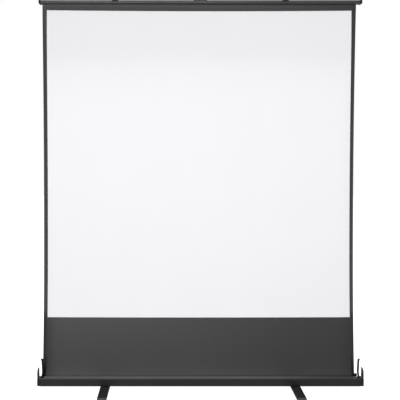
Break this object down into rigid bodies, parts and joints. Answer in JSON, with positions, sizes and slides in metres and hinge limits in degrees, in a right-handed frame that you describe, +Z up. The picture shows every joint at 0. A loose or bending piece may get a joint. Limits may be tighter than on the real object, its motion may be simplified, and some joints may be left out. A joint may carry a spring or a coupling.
{
  "type": "projection screen",
  "caption": "Floor-standing projection screen that pulls up out of a low case with swivel feet, on a spring roller, held by crossed folding arms.",
  "frame": {"origin": "on the floor under the middle of the case", "axes": "+X to the viewer's right along the case, +Y away from the viewer, +Z up; the viewing face looks along -Y"},
  "size_m": [1.915, 0.484, 2.2922],
  "materials": {
    "case_black": "black anodised, satin",
    "bar_black": "black anodised, satin",
    "moulded_black": "fine moulded texture",
    "foot_black": "powder coated",
    "arm_black": "black anodised",
    "steel": "zinc plated",
    "tube_aluminium": "mill finish",
    "rubber_black": "matt",
    "sheet_black": "coated cloth, matt black",
    "sheet_white": "matt white viewing face"
  },
  "bodies": {
    "case": {"case_front": "case_black", "case_base": "case_black", "case_partition": "case_black", "case_rear": "case_black", "case_end_cap_left": "moulded_black", "case_end_cap_right": "moulded_black", "roller_bracket_left": "steel", "roller_bracket_right": "steel", "spring_arbor": "steel", "roller_spring": "steel", "base_bracket_left": "steel", "base_bracket_right": "steel", "base_pin_left": "steel", "base_pin_right": "steel", "foot_bolt_left": "steel", "foot_bolt_right": "steel", "foot_washer_left": "steel", "foot_washer_right": "steel", "catch_pin_left": "steel", "catch_pin_right": "steel", "screen_sheet": "sheet_black", "viewing_face": "sheet_white"},
    "roller": {"roller_tube": "tube_aluminium", "roller_plug_left": "moulded_black", "roller_plug_right": "moulded_black", "wound_sheet": "sheet_black"},
    "top_bar": {"top_bar": "bar_black", "sheet_top_rod": "moulded_black", "bar_end_cap_left": "moulded_black", "bar_end_cap_right": "moulded_black", "bar_bracket_left": "moulded_black", "bar_bracket_right": "moulded_black", "top_pin_left": "steel", "top_pin_right": "steel", "bar_grip": "moulded_black"},
    "lower_arm_left": {"lower_arm_left": "arm_black", "knee_pin_left": "steel", "knee_washer_left": "moulded_black"},
    "upper_arm_left": {"upper_arm_left": "arm_black"},
    "foot_left": {"foot_bar_left": "foot_black", "foot_plug_front_left": "rubber_black", "foot_plug_rear_left": "rubber_black", "foot_pad_front_left": "rubber_black", "foot_pad_rear_left": "rubber_black"},
    "catch_left": {"end_catch_left": "moulded_black"},
    "lower_arm_right": {"lower_arm_right": "arm_black", "knee_pin_right": "steel", "knee_washer_right": "moulded_black"},
    "upper_arm_right": {"upper_arm_right": "arm_black"},
    "foot_right": {"foot_bar_right": "foot_black", "foot_plug_front_right": "rubber_black", "foot_plug_rear_right": "rubber_black", "foot_pad_front_right": "rubber_black", "foot_pad_rear_right": "rubber_black"},
    "catch_right": {"end_catch_right": "moulded_black"}
  },
  "joints": [
    {"name": "screen_fold", "type": "hinge", "parent": "case", "child": "lower_arm_left", "pos_m": [-0.5, 0.02275, 0.043], "axis": [0, 1, 0], "range_deg": [0, 51.65], "deforming": ["screen_sheet", "viewing_face"]},
    {"name": "knee_left", "type": "hinge", "parent": "lower_arm_left", "child": "upper_arm_left", "pos_m": [0.36863, 0.02275, 1.1409], "axis": [0, 1, 0], "range_deg": [-103.4, 0]},
    {"name": "bar_left", "type": "hinge", "parent": "upper_arm_left", "child": "top_bar", "pos_m": [-0.5, 0.02275, 2.2388], "axis": [0, 1, 0], "range_deg": [0, 51.75]},
    {"name": "fold_right", "type": "hinge", "parent": "case", "child": "lower_arm_right", "pos_m": [0.5, 0.02275, 0.043], "axis": [0, 1, 0], "range_deg": [-51.75, 0]},
    {"name": "knee_right", "type": "hinge", "parent": "lower_arm_right", "child": "upper_arm_right", "pos_m": [-0.36863, 0.02275, 1.1409], "axis": [0, 1, 0], "range_deg": [0, 103.4]},
    {"name": "roller_spin", "type": "hinge", "parent": "case", "child": "roller", "pos_m": [0, -0.02238, 0.04488], "axis": [1, 0, 0], "range_deg": [-7548.8, 0]},
    {"name": "foot_left_swivel", "type": "hinge", "parent": "case", "child": "foot_left", "pos_m": [-0.56, 0, 0], "axis": [0, 0, 1], "range_deg": [0, 90]},
    {"name": "foot_right_swivel", "type": "hinge", "parent": "case", "child": "foot_right", "pos_m": [0.56, 0, 0], "axis": [0, 0, 1], "range_deg": [-90, 0]},
    {"name": "catch_left_flex", "type": "hinge", "parent": "case", "child": "catch_left", "pos_m": [-0.9315, -0.025, 0.066], "axis": [0, 1, 0], "range_deg": [0, 5], "stiffness_Nm_per_rad": 0.6},
    {"name": "catch_right_flex", "type": "hinge", "parent": "case", "child": "catch_right", "pos_m": [0.9315, -0.025, 0.066], "axis": [0, 1, 0], "range_deg": [-5, 0], "stiffness_Nm_per_rad": 0.6}
  ],
  "couplings": [
    {"joint": "knee_left", "follows": "screen_fold", "ratio": -2},
    {"joint": "bar_left", "follows": "screen_fold", "ratio": 1},
    {"joint": "fold_right", "follows": "screen_fold", "ratio": -1},
    {"joint": "knee_right", "follows": "screen_fold", "ratio": 2},
    {"joint": "roller_spin", "follows": "screen_fold", "ratio": -145.96}
  ]
}
